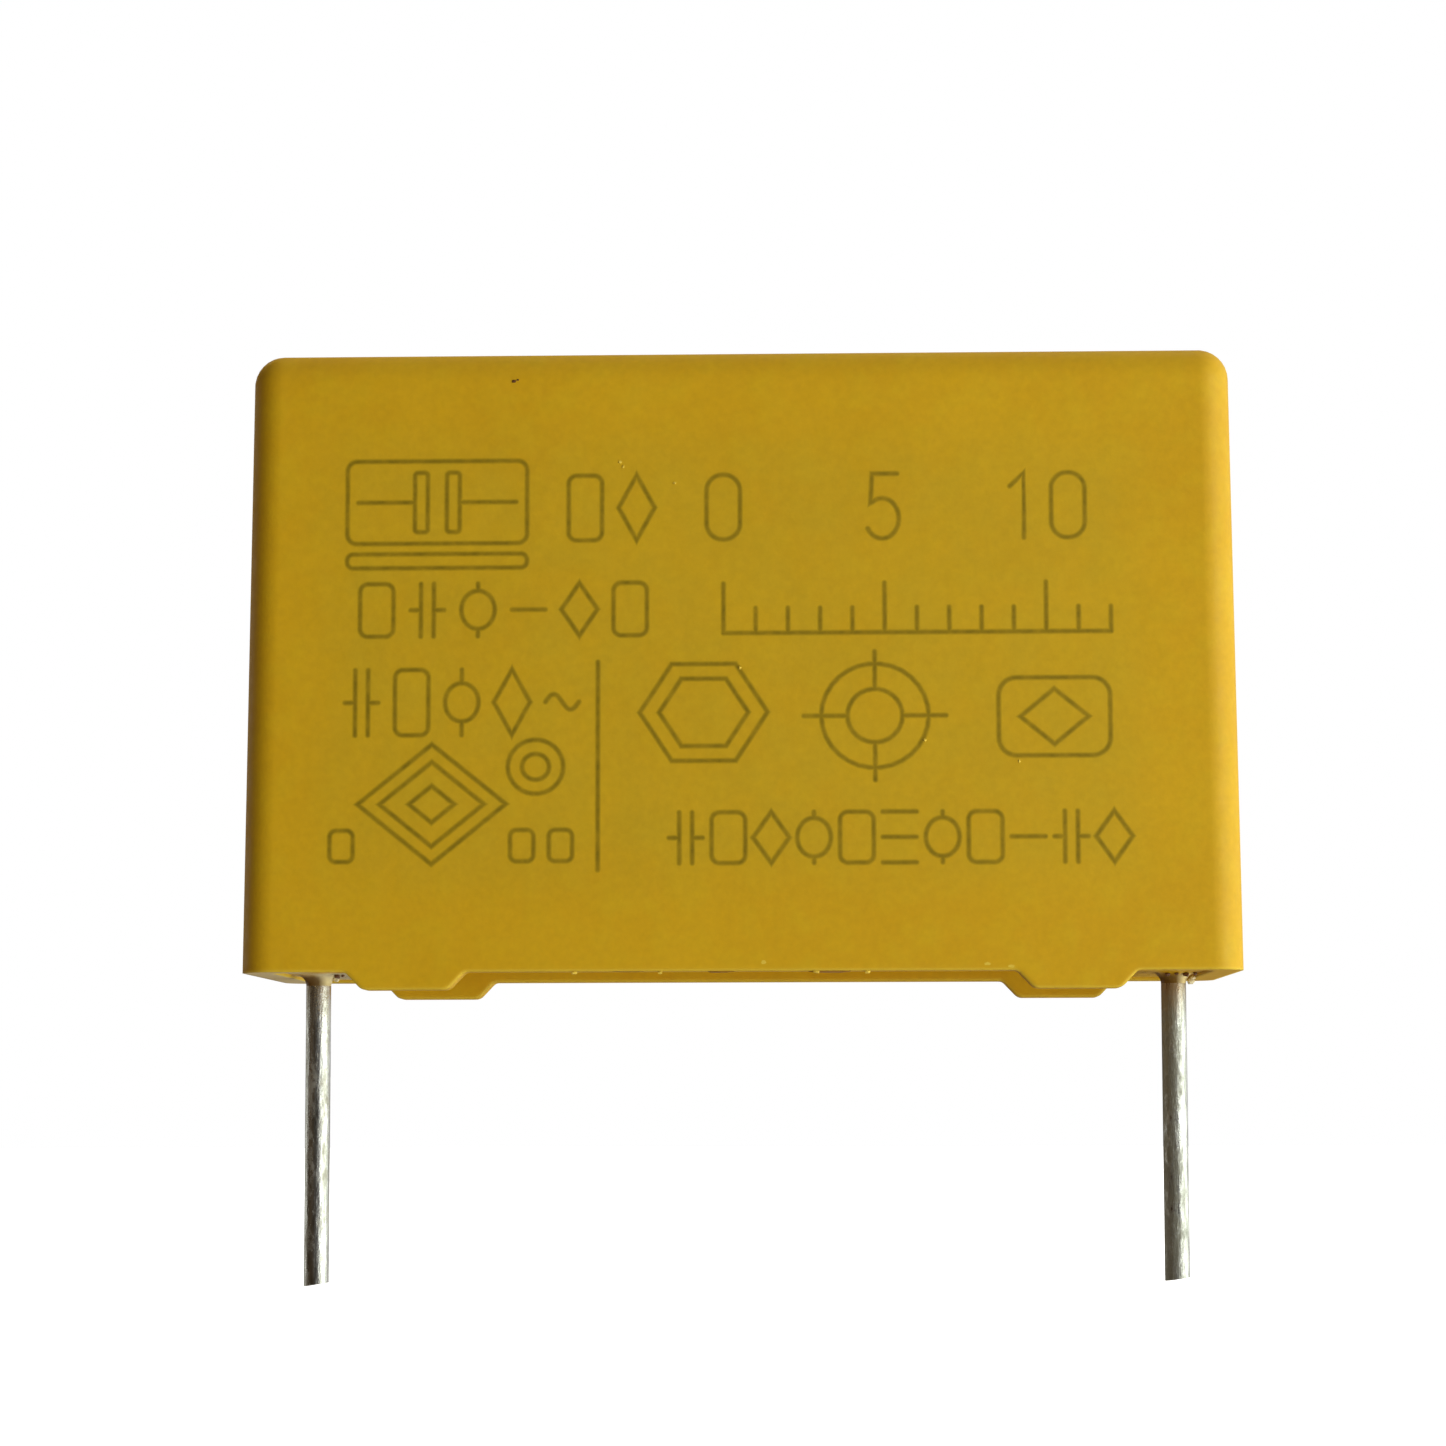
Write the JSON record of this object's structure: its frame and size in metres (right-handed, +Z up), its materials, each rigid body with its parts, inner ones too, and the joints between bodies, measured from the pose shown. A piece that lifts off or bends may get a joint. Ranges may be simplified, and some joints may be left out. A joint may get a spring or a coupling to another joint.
{
  "type": "box film capacitor",
  "caption": "Rectangular moulded box with rounded edges and board feet, cast resin underneath and straight wire leads; holds a flat film winding.",
  "frame": {"origin": "midway between the two lead axes, on the board plane that the four feet stand on", "axes": "+Z up through the case, +X from the left lead to the right lead, the marked face looks along -Y"},
  "size_m": [0.031, 0.011, 0.0293],
  "materials": {
    "case_plastic": "satin ochre yellow, faint moulded grain",
    "resin": "glossy cast resin",
    "metallised_film": "silvery layered film",
    "plain_film": "clear plain film",
    "sprayed_metal": "rough sprayed metal",
    "tinned_wire": "tinned, streaked along the wire",
    "solder": "bright solder"
  },
  "bodies": {
    "root": {"case": "case_plastic", "potting_resin": "resin", "film_winding": "metallised_film", "cover_film": "plain_film", "end_spray_left": "sprayed_metal", "end_spray_right": "sprayed_metal", "lead_left": "tinned_wire", "lead_right": "tinned_wire", "solder_joint_left": "solder", "solder_joint_right": "solder"}
  },
  "joints": []
}
